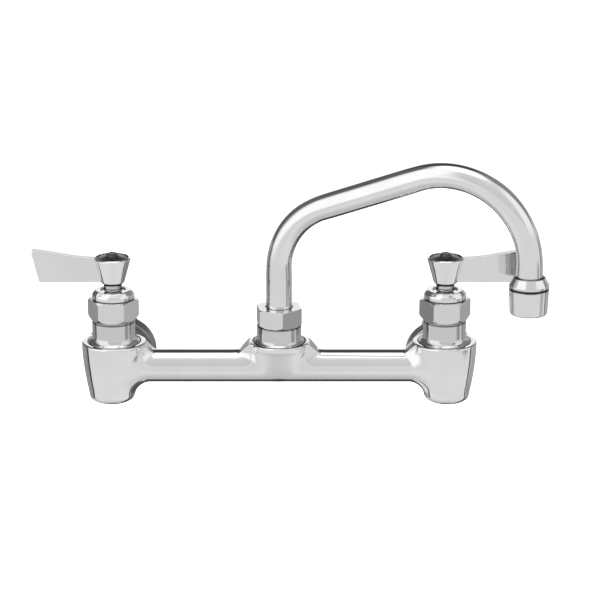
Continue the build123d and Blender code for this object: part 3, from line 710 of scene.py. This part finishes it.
def make_materials():
    m = {}
    m["cast"] = chrome("chrome_on_casting", wave=0.00014, wave_scale=48.0)
    m["turned"] = chrome("chrome_on_turned_brass", rough=(0.05, 0.11), grain=0.00001, grain_scale=260.0, stretch=(0.25, 0.25, 14))
    m["gland"] = chrome("chrome_on_glands", rough=(0.04, 0.09), grain=0.00001, grain_scale=260.0, stretch=(0.25, 0.25, 14),
                        # The height stops of the glands, collar, housing, bonnets, adapter and levers are painted
                        # shade: dark lines in the gaps between parts, in grooves and in concave corners. The levers
                        # also get painted shade on the sides of their necks.
                        shade_bands=[(43.4, 0.12), (43.95, 0.15), (44.25, 0.9), (44.5, 1.0), (49.1, 1.0)])
    m["collar"] = chrome("chrome_on_collar", rough=(0.04, 0.09), grain=0.00001, grain_scale=260.0, stretch=(0.25, 0.25, 14),
                         shade_bands=[(64.2, 0.08), (64.8, 0.15), (65.15, 0.95), (70.4, 1.0), (70.8, 0.35), (71.3, 0.12)])
    m["housing"] = chrome("chrome_on_housing", rough=(0.04, 0.09), grain=0.00001, grain_scale=260.0, stretch=(0.25, 0.25, 14),
                          shade_bands=[(48.2, 0.55), (48.9, 0.75), (49.3, 1.0), (62.9, 1.0), (63.2, 0.45), (63.65, 0.12)])
    m["nut"] = chrome("chrome_on_hexagons", tint=(0.81, 0.815, 0.82), rough=(0.04, 0.07), wave=0.00003, wave_scale=90.0, grain=0.000006,
                      grain_scale=420.0, stretch=(1, 1, 0.2))
    m["bonnet"] = chrome("chrome_on_bonnets", tint=(0.72, 0.725, 0.73), rough=(0.06, 0.12), grain=0.00001, grain_scale=260.0,
                         stretch=(0.25, 0.25, 14), shade_bands=[(14.8, 0.2), (15.3, 0.45), (15.9, 0.8), (16.2, 1), (28.55, 1), (28.8, 0.3),
                                                          (29.4, 0.35), (29.6, 1), (29.75, 0.9), (29.95, 0.25), (30.1, 0.2)])
    m["adapter"] = chrome("chrome_on_adapter", tint=(0.72, 0.725, 0.73), rough=(0.06, 0.12), grain=0.00001, grain_scale=260.0,
                          stretch=(0.25, 0.25, 14), shade_bands=[(14.8, 0.2), (15.3, 0.45), (15.9, 0.8), (16.2, 1), (25.7, 1), (25.9, 0.4),
                                                           (26.1, 0.9), (26.3, 0.25), (26.5, 0.2)])
    m["tube"] = chrome("chrome_on_tube", rough=(0.02, 0.045), wave=0.00004, wave_scale=35.0)
    m["lever"] = chrome("chrome_on_levers", rough=(0.05, 0.09), wave=0.00006, wave_scale=40.0,
                        shade_bands=[(49.0, 0.05), (49.18, 0.05), (49.3, 0.9), (49.8, 0.95), (49.95, 0.10), (50.3, 0.12), (50.6, 0.75),
                               (53.2, 0.85), (53.75, 0.25), (54.1, 0.28), (54.45, 1.0)], neck=True)
    # The two wall flanges are the same plated part: the hot one's much darker tint is painted shade, the cold one keeps
    # near the plain chrome tone.
    m["hot_flange"] = chrome("chrome_on_hot_flange_painted_shade", tint=(0.37, 0.37, 0.37), rough=(0.3, 0.42), cloud=0.35, grain=0.00001,
                             grain_scale=300.0)
    m["cold_flange"] = chrome("chrome_on_cold_flange", tint=(0.84, 0.84, 0.84), rough=(0.2, 0.3), cloud=0.3, grain=0.00001,
                              grain_scale=300.0)

    mat, nt, bsdf = new_material("machined_brass")
    bsdf.inputs["Metallic"].default_value = 1.0
    tone = ramp(nt, noise(nt, 120.0, 5.0, 0.6).outputs["Fac"], [(0.3, (0.50, 0.36, 0.16)), (0.7, (0.72, 0.55, 0.28))])
    nt.links.new(tone.outputs["Color"], bsdf.inputs["Base Color"])
    nt.links.new(spread(nt, noise(nt, 500.0, 5.0, 0.7).outputs["Fac"], 0.22, 0.4).outputs["Result"], bsdf.inputs["Roughness"])
    bump(nt, bsdf, noise(nt, 900.0, 3.0, 0.6, (1, 6, 1)).outputs["Fac"], 0.00001)
    m["brass"] = mat

    mat, nt, bsdf = new_material("stainless_steel")
    bsdf.inputs["Metallic"].default_value = 1.0
    tone = ramp(nt, noise(nt, 200.0, 4.0, 0.6).outputs["Fac"], [(0.3, (0.50, 0.50, 0.50)), (0.7, (0.63, 0.63, 0.62))])
    nt.links.new(tone.outputs["Color"], bsdf.inputs["Base Color"])
    nt.links.new(spread(nt, noise(nt, 800.0, 4.0, 0.7).outputs["Fac"], 0.2, 0.38).outputs["Result"], bsdf.inputs["Roughness"])
    bump(nt, bsdf, noise(nt, 1200.0, 2.0, 0.5).outputs["Fac"], 0.000006)
    m["steel"] = mat

    mat, nt, bsdf = new_material("black_rubber")
    tone = ramp(nt, noise(nt, 300.0, 4.0, 0.6).outputs["Fac"], [(0.3, (0.014, 0.014, 0.015)), (0.7, (0.035, 0.034, 0.034))])
    nt.links.new(tone.outputs["Color"], bsdf.inputs["Base Color"])
    nt.links.new(spread(nt, noise(nt, 900.0, 4.0, 0.7).outputs["Fac"], 0.5, 0.75).outputs["Result"], bsdf.inputs["Roughness"])
    bump(nt, bsdf, noise(nt, 1500.0, 4.0, 0.6).outputs["Fac"], 0.00002)
    m["rubber"] = mat

    mat, nt, bsdf = new_material("plated_fittings")
    bsdf.inputs["Metallic"].default_value = 1.0
    tone = ramp(nt, noise(nt, 90.0, 5.0, 0.6).outputs["Fac"], [(0.3, (0.42, 0.42, 0.415)), (0.7, (0.58, 0.58, 0.575))])
    nt.links.new(tone.outputs["Color"], bsdf.inputs["Base Color"])
    nt.links.new(spread(nt, noise(nt, 420.0, 5.0, 0.7).outputs["Fac"], 0.18, 0.36).outputs["Result"], bsdf.inputs["Roughness"])
    bump(nt, bsdf, noise(nt, 800.0, 3.0, 0.6).outputs["Fac"], 0.000012)
    m["plated"] = mat

    mat, nt, bsdf = new_material("fibre_ring")
    tone = ramp(nt, noise(nt, 500.0, 6.0, 0.7).outputs["Fac"], [(0.3, (0.045, 0.045, 0.046)), (0.7, (0.10, 0.10, 0.10))])
    nt.links.new(tone.outputs["Color"], bsdf.inputs["Base Color"])
    nt.links.new(spread(nt, noise(nt, 900.0, 3.0, 0.6).outputs["Fac"], 0.6, 0.85).outputs["Result"], bsdf.inputs["Roughness"])
    bump(nt, bsdf, noise(nt, 1800.0, 4.0, 0.7).outputs["Fac"], 0.00003)
    m["fibre"] = mat

    mat, nt, bsdf = new_material("index_cap_satin")
    bsdf.inputs["Metallic"].default_value = 0.85
    tone = ramp(nt, noise(nt, 220.0, 5.0, 0.6).outputs["Fac"], [(0.3, (0.062, 0.062, 0.064)), (0.7, (0.10, 0.10, 0.102))])
    nt.links.new(tone.outputs["Color"], bsdf.inputs["Base Color"])
    nt.links.new(spread(nt, noise(nt, 700.0, 5.0, 0.7).outputs["Fac"], 0.22, 0.36).outputs["Result"], bsdf.inputs["Roughness"])
    bump(nt, bsdf, noise(nt, 1400.0, 3.0, 0.6).outputs["Fac"], 0.000012)
    m["cap"] = mat

    mat, nt, bsdf = new_material("insert_plastic")
    tone = ramp(nt, noise(nt, 260.0, 4.0, 0.6).outputs["Fac"], [(0.3, (0.55, 0.55, 0.54)), (0.7, (0.70, 0.70, 0.69))])
    nt.links.new(tone.outputs["Color"], bsdf.inputs["Base Color"])
    nt.links.new(spread(nt, noise(nt, 700.0, 3.0, 0.6).outputs["Fac"], 0.35, 0.5).outputs["Result"], bsdf.inputs["Roughness"])
    bump(nt, bsdf, noise(nt, 1200.0, 3.0, 0.6).outputs["Fac"], 0.00001)
    m["plastic"] = mat
    return m


MATS = make_materials()


def finish_piece(obj, body, nodes, mat):
    obj.data.materials.clear()
    obj.data.materials.append(MATS[mat])
    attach(obj, body)
    if nodes:
        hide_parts(*nodes)
    return obj


# ------------------------------------------------------------------------------------------------ build
finish_piece(make_casting(), "root", ["faucet_body"], "cast")

handle_mesh = skin(handle_field, np.arange(-52.4, 12.6, 0.5), np.arange(-12.3, 12.31, 0.5),
                   np.concatenate([np.arange(48.2, 54.8, 0.3), np.arange(54.8, 66.0, 0.5), np.arange(66.0, 77.2, 0.35)]))

BONNET = [(7.05, 5.0), (11.35, 5.0), (11.95, 5.6), (11.95, 14.9), (15.9, 14.9, 0.15), (15.9, 16.15, 0.3),
          (13.2, 18.0, 4.0), (13.2, 28.7, 0.08), (12.8, 28.95, 0.1), (12.8, 29.3, 0.1), (13.2, 29.55, 0.08),
          (13.2, 30.1, 0.2), (12.2, 30.1), (12.2, 37.4), (11.6, 38.0), (8.0, 38.0), (8.0, 33.8), (6.0, 33.8), (6.0, 20.0),
          (7.05, 19.0)]
GLAND = [(4.7, 38.0), (7.9, 38.0), (7.9, 38.6), (8.95, 38.6), (8.95, 43.5), (12.45, 43.5), (12.45, 43.85),
         (12.9, 44.1, 0.1), (12.9, 46.5, 2.3), (10.7, 49.0, 1.5), (7.9, 49.0, 0.35), (7.2, 48.0, 0.25), (5.6, 48.0),
         (5.6, 47.6), (4.7, 47.2)]
CAP = [(0, 66.1), (9.45, 66.1), (9.62, 66.4), (9.62, 68.8, 0.25), (9.0, 69.0, 0.4), (3.6, 70.5, 0.9), (3.1, 71.6, 0.35),
       (2.4, 72.2, 0.35), (1.5, 72.0, 0.3), (0, 71.9)]
FLANGE = [(13.9, -1.2), (19.4, -1.2), (19.4, 0), (21.3, 0, 0.3), (21.6, -0.8, 0.5), (21.3, -3.0, 2), (20.2, -7.2, 1.2),
          (19.5, -8.0, 0.5), (17.9, -8.0, 0.3), (17.5, -7.5, 0.2), (17.5, -3.0), (13.9, -3.0)]
LOOSE = {"hot": (-98.8, 0, 1.5), "cold": (100.2, 0, -1.2)}

for word, side, turn in (("hot", -1, -1.8), ("cold", 1, 1.8)):
    at = (side * HALF, AXIS_Y, 0)
    wall = (side * HALF, 0, 0)
    w = word + "_"
    finish_piece(lathe(w + "bonnet_turned", BONNET, at), "root", [w + "bonnet"], "bonnet")
    finish_piece(hex_piece(w + "bonnet_hexagon", 27.4, turn, 30.1, 43.5, 13.3, 13.65, 2.9, 1.15,
                           [(12.25, 30.1), (12.25, 38.4), (9.0, 38.4), (9.0, 43.5)], at), "root",
                 [w + "bonnet_nut"], "nut")
    finish_piece(lathe(w + "gland_dome", GLAND, at), "root", [w + "stem_gland"], "gland")
    finish_piece(make_handle(w + "lever", word + "_handle", side), word + "_handle", [w + "lever_handle"], "lever")
    finish_piece(lathe(w + "cap", CAP, at, segs=96), word + "_handle", [w + "index_cap"], "cap")
    finish_piece(lathe(w + "flange_plate", FLANGE, LOOSE[word], "y"), "root", [w + "wall_flange"], w + "flange")
    finish_piece(threaded(w + "nipple", wall, 10.48, 7.5, -10.4, 50.0, 1.814, 0.85, smooth=((-10.4, 3.0), (24.6, 26.6))), "root",
                 [w + "inlet_shank"], "plated")
    finish_piece(lathe(w + "washer_behind", [(10.68, 14), (16.0, 14, 0.4), (16.0, 16, 0.4), (10.68, 16)], wall, "y", 96), "root",
                 [w + "shank_washer"], "steel")
    finish_piece(hex_piece(w + "locknut_behind", 27.0, 0, 16, 23, 13.0, 13.0, 1.2, 1.2, [(10.53, 16), (10.53, 23)], wall, "y"),
                 "root", [w + "shank_locknut"], "plated")

ADAPTER = [(7.2, 5.0), (11.35, 5.0), (11.95, 5.6), (11.95, 14.9), (15.5, 14.9, 0.15), (15.5, 16.15, 0.3), (13.7, 17.5, 2.4),
           (13.7, 26.5, 0.25), (11.2, 26.5), (11.2, 32.4), (10.7, 33.0), (9.3, 33.0), (9.3, 12.0), (7.2, 12.0)]
FERRULE = [(6.9, 12.3), (8.7, 12.3), (9.25, 12.9), (9.25, 16.0), (7.75, 16.0), (7.75, 18.2), (9.25, 18.2), (9.25, 22.0),
           (7.75, 22.0), (7.75, 24.2), (9.25, 24.2), (9.25, 33.1), (10.4, 33.1), (10.4, 34.3, 0.3), (8.45, 34.3), (8.35, 36.7),
           (8.15, 37.2), (7.96, 37.2), (7.96, 26.0), (6.9, 26.0)]
COLLAR = [(6.9, 57.0), (10.2, 57.0), (10.6, 57.4), (10.6, 64.3), (11.7, 64.3, 0.15), (11.94, 64.7, 0.25), (11.94, 66.2, 0.8),
          (9.4, 70.7, 0.6), (8.9, 71.1, 0.2), (8.45, 71.3, 0.15), (7.96, 71.3), (7.96, 61.0), (6.9, 61.0)]
HOUSING = [(8.5, 48.2, 0.2), (10.6, 48.2, 0.5), (11.25, 49.0, 0.5), (11.9, 63.1, 0.25), (11.6, 63.65, 0.12), (10.66, 63.65),
           (10.66, 49.6), (8.5, 49.6, 0.1)]
centre = (0, AXIS_Y, 0)
outlet = (REACH * math.cos(AZIMUTH), AXIS_Y + REACH * math.sin(AZIMUTH), 0)
finish_piece(lathe("adapter_turned", ADAPTER, centre), "root", ["spout_adapter"], "adapter")
finish_piece(hex_piece("spout_hexagon", 26.0, -21.5, 26.5, 37.9, 13.2, 14.2, 1.9, 0.5,
                       [(11.3, 26.5), (11.3, 35.3), (8.75, 35.3), (8.6, 37.9)], centre), "root", ["spout_nut"], "nut")
finish_piece(lathe("ferrule_turned", FERRULE, centre), "spout", ["spout_ferrule"], "turned")
finish_piece(make_tube(), "spout", ["spout_tube"], "tube")
finish_piece(lathe("collar_turned", COLLAR, outlet), "spout", ["aerator_collar"], "collar")
finish_piece(lathe("housing_turned", HOUSING, outlet), "spout", ["aerator_housing"], "housing")

# carried-over pieces, mostly out of sight inside the valves
KEPT = {"valve_seat": "brass", "seat_washer": "rubber", "seat_washer_screw": "steel", "disc_holder": "brass", "stem": "steel",
        "stem_o_ring": "rubber", "bonnet_gasket": "fibre", "stem_packing": "fibre", "handle_screw": "steel",
        "flange_gasket": "rubber", "adapter_gasket": "fibre", "ferrule_o_rings": "rubber", "spout_retaining_ring": "brass",
        "aerator_washer": "rubber", "aerator_insert": "plastic", "aerator_screen": "steel"}
for name, obj in frame["nodes"].items():
    base = name.split("_", 1)[1] if name.split("_")[0] in ("hot", "cold") else name
    if base in KEPT:
        obj.data.materials.clear()
        obj.data.materials.append(MATS[KEPT[base]])


# ------------------------------------------------------------------------------------------------ floor, light, camera
def make_floor():
    mesh = bpy.data.meshes.new("floor")
    s, z = 9.0, -0.45
    mesh.from_pydata([(-s, -s, z), (s, -s, z), (s, s, z), (-s, s, z)], [], [(0, 1, 2, 3)])
    obj = bpy.data.objects.new("floor", mesh)
    bpy.context.scene.collection.objects.link(obj)
    mat, nt, bsdf = new_material("floor_pale")
    bsdf.inputs["Base Color"].default_value = (0.93, 0.93, 0.93, 1)
    bsdf.inputs["Roughness"].default_value = 0.9
    bsdf.inputs["Specular IOR Level"].default_value = 0.1
    obj.data.materials.append(mat)
    obj.visible_glossy = False
    return obj


# light levels of the studio: front wall by height angle, then soft boxes and darker places as
# (azimuth from, to, height from, to, softness round, softness up, level). Azimuth 0 is in front, +90 is at +X.
FRONT = [(-90, .54), (-75, .60), (-60, .66), (-51, .74), (-46, .80), (-40, .81), (-32, .80), (-22, .775), (-17, .755), (0, .76), (13, .765), (15.5, .64), (17, .58), (18.5, .64),
         (21, .68), (35, .69), (50, .72), (62, .80), (68, .95), (71, 1.35), (76, 1.5), (90, 1.5)]
BOXES = [
    (-88, -28, -8, 70, 9, 9, 1.15), (46, 112, 12, 54, 8, 7, 0.97), (66, 87, -23, -12, 6, 4, 0.36),
    (104, 250, 8, 62, 8, 5, 0.26), (112, 250, -64, 2, 6, 6, 0.42), (112, 152, -66, -30, 6, 6, 0.10),
    (-250, -104, -4, 63, 9, 6, 0.13), (-250, -104, -36, -4, 6, 6, 0.33), (-250, -104, -64, -36, 9, 5, 0.75),
    (-120, -110, -36, -4, 1.5, 6, 0.26), (109, 119, -36, -4, 1.5, 6, 0.5),
    (103, 109.5, -70, 6, 1.5, 8, 0.02), (-111, -103, -66, 6, 1.5, 8, 0.02),
    (150, 210, 27, 63, 8, 4, 0.06), (-210, -150, 27, 63, 8, 4, 0.06),
    (150, 210, -80, -24, 6, 5, 0.07), (-210, -150, -80, -24, 6, 5, 0.07),
    (160, 200, -9, 23, 9, 4, 0.97), (-200, -160, -9, 23, 9, 4, 0.97),
    (156, 167, -7, 9, 2.5, 3, 0.36), (193, 204, -7, 9, 2.5, 3, 0.36), (-167, -156, -7, 9, 2.5, 3, 0.36), (-204, -193, -7, 9, 2.5, 3, 0.36),
]


def make_world():
    """A plain soft studio: white ceiling light, a soft box on each side, light grey in front and below, dark behind."""
    world = bpy.data.worlds.new("studio")
    bpy.context.scene.world = world
    world.use_nodes = True
    nt = world.node_tree
    nt.nodes.clear()
    out = nt.nodes.new("ShaderNodeOutputWorld")
    back = nt.nodes.new("ShaderNodeBackground")
    nt.links.new(back.outputs["Background"], out.inputs["Surface"])
    coord = nt.nodes.new("ShaderNodeTexCoord")
    sep = nt.nodes.new("ShaderNodeSeparateXYZ")
    nt.links.new(coord.outputs["Generated"], sep.inputs["Vector"])

    def calc(op, a, b=None, c=None):
        node = nt.nodes.new("ShaderNodeMath")
        node.operation = op
        for k, v in enumerate((a, b, c)):
            if v is None:
                continue
            if isinstance(v, (int, float)):
                node.inputs[k].default_value = v
            else:
                nt.links.new(v, node.inputs[k])
        return node.outputs[0]

    def step(value, low, high):
        node = nt.nodes.new("ShaderNodeMapRange")
        node.interpolation_type = "SMOOTHSTEP"
        node.inputs["From Min"].default_value = low
        node.inputs["From Max"].default_value = high
        nt.links.new(value, node.inputs["Value"])
        return node.outputs["Result"]

    azimuth = calc("MULTIPLY", calc("ARCTAN2", sep.outputs["X"], calc("MULTIPLY", sep.outputs["Y"], -1.0)), 180 / math.pi)
    height = calc("MULTIPLY", calc("ARCSINE", sep.outputs["Z"]), 180 / math.pi)
    wall = ramp(nt, calc("DIVIDE", calc("ADD", height, 90.0), 180.0), [((h + 90) / 180.0, (v / 2,) * 3) for h, v in FRONT])
    level = calc("MULTIPLY", wall.outputs["Color"], 2.0)
    for a0, a1, h0, h1, sa, sh, value in BOXES:
        share = calc("SUBTRACT", step(azimuth, a0 - sa, a0 + sa), step(azimuth, a1 - sa, a1 + sa))
        tall = calc("SUBTRACT", step(height, h0 - sh, h0 + sh), step(height, h1 - sh, h1 + sh))
        share = calc("MULTIPLY", share, tall)
        level = calc("MULTIPLY_ADD", share, calc("SUBTRACT", value, level), level)
    nt.links.new(level, back.inputs["Strength"])
    back.inputs["Color"].default_value = (1, 1, 1, 1)


def make_lights():
    """One very large soft lamp overhead, for the floor and the parts that are not bright metal."""
    data = bpy.data.lights.new("ceiling_box", "SUN")
    data.energy = 3.0
    data.angle = math.radians(120)
    obj = bpy.data.objects.new("ceiling_box", data)
    obj.location = (0, -0.3, 2.6)
    bpy.context.scene.collection.objects.link(obj)
    obj.visible_glossy = False


def make_camera():
    data = bpy.data.cameras.new("camera")
    data.sensor_width = 36.0
    data.lens = 2449.5 / 600 * 36.0
    data.clip_start, data.clip_end = 0.05, 50.0
    obj = bpy.data.objects.new("camera", data)
    tilt = math.radians(17.5)
    far = 1500.0
    aim = np.array([12.8, -28.6, 42.1])
    obj.location = [float(v) * MM for v in aim + np.array([0, -math.cos(tilt) * far, math.sin(tilt) * far])]
    obj.rotation_euler = (math.pi / 2 - tilt, 0, 0)
    bpy.context.scene.collection.objects.link(obj)
    bpy.context.scene.camera = obj


make_floor()
make_world()
make_lights()
make_camera()
bpy.context.scene.view_settings.view_transform = "Standard"
bpy.context.scene.view_settings.look = "None"
